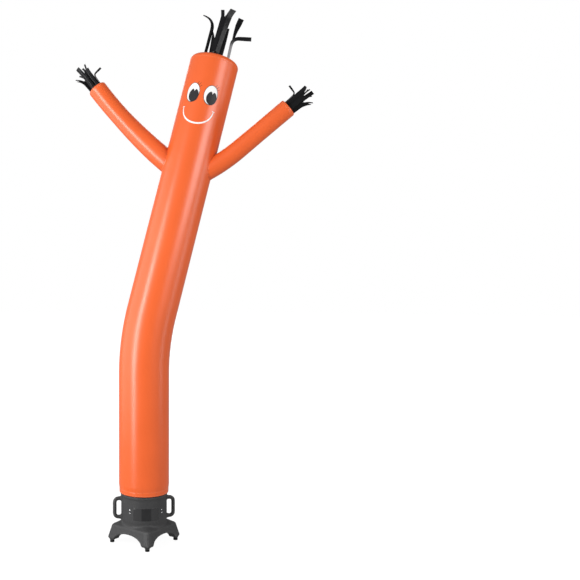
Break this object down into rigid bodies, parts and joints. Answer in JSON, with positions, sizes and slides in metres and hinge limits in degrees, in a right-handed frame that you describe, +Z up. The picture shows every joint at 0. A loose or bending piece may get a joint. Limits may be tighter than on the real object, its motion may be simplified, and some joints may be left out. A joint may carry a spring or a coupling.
{
  "type": "inflatable air dancer on a fan blower",
  "caption": "Tall inflated nylon tube dancer with a smiling face, raised arms and black ribbons, swaying to one side on its fan blower.",
  "frame": {"origin": "the middle of the underside of the whole object's bounding box, on the ground that the blower's feet stand on", "axes": "+Z up, -Y towards the viewer in front of the blower's label plate, +X to that viewer's right, the way the dancer sways"},
  "size_m": [1.4158, 0.5364, 3.307],
  "materials": {
    "tube_nylon": "orange ripstop nylon, thin and faintly glossy",
    "ribbon_black": "black coated nylon ribbon, glossy",
    "patch_white": "white nylon patch",
    "patch_black": "near-black nylon patch",
    "moulded_grey": "dark grey rotationally moulded polyethylene, fine grain",
    "hook_tape": "black woven hook tape",
    "gloss_plate": "blank glossy black plate",
    "bright_steel": "bright zinc-plated steel",
    "foot_rubber": "black rubber, matte"
  },
  "bodies": {
    "root": {"arm_left": "tube_nylon", "arm_right": "tube_nylon", "blower_housing": "moulded_grey", "eye_white_left": "patch_white", "eye_white_right": "patch_white", "foot_1": "foot_rubber", "foot_2": "foot_rubber", "foot_3": "foot_rubber", "foot_4": "foot_rubber", "guard_bolt_1": "bright_steel", "guard_bolt_2": "bright_steel", "guard_bolt_3": "bright_steel", "guard_bolt_4": "bright_steel", "hair_1": "ribbon_black", "hair_2": "ribbon_black", "hair_3": "ribbon_black", "hair_4": "ribbon_black", "hair_5": "ribbon_black", "hair_6": "ribbon_black", "hair_7": "ribbon_black", "hook_band": "hook_tape", "label_plate": "gloss_plate", "outlet_guard": "bright_steel", "pupil_left": "patch_black", "pupil_right": "patch_black", "rivet_1": "bright_steel", "rivet_2": "bright_steel", "rivet_3": "bright_steel", "rivet_4": "bright_steel", "smile": "patch_white", "streamer_left_1": "ribbon_black", "streamer_left_2": "ribbon_black", "streamer_left_3": "ribbon_black", "streamer_left_4": "ribbon_black", "streamer_left_5": "ribbon_black", "streamer_left_6": "ribbon_black", "streamer_left_7": "ribbon_black", "streamer_right_1": "ribbon_black", "streamer_right_2": "ribbon_black", "streamer_right_3": "ribbon_black", "streamer_right_4": "ribbon_black", "streamer_right_5": "ribbon_black", "streamer_right_6": "ribbon_black", "streamer_right_7": "ribbon_black", "torso": "tube_nylon"}
  },
  "joints": []
}
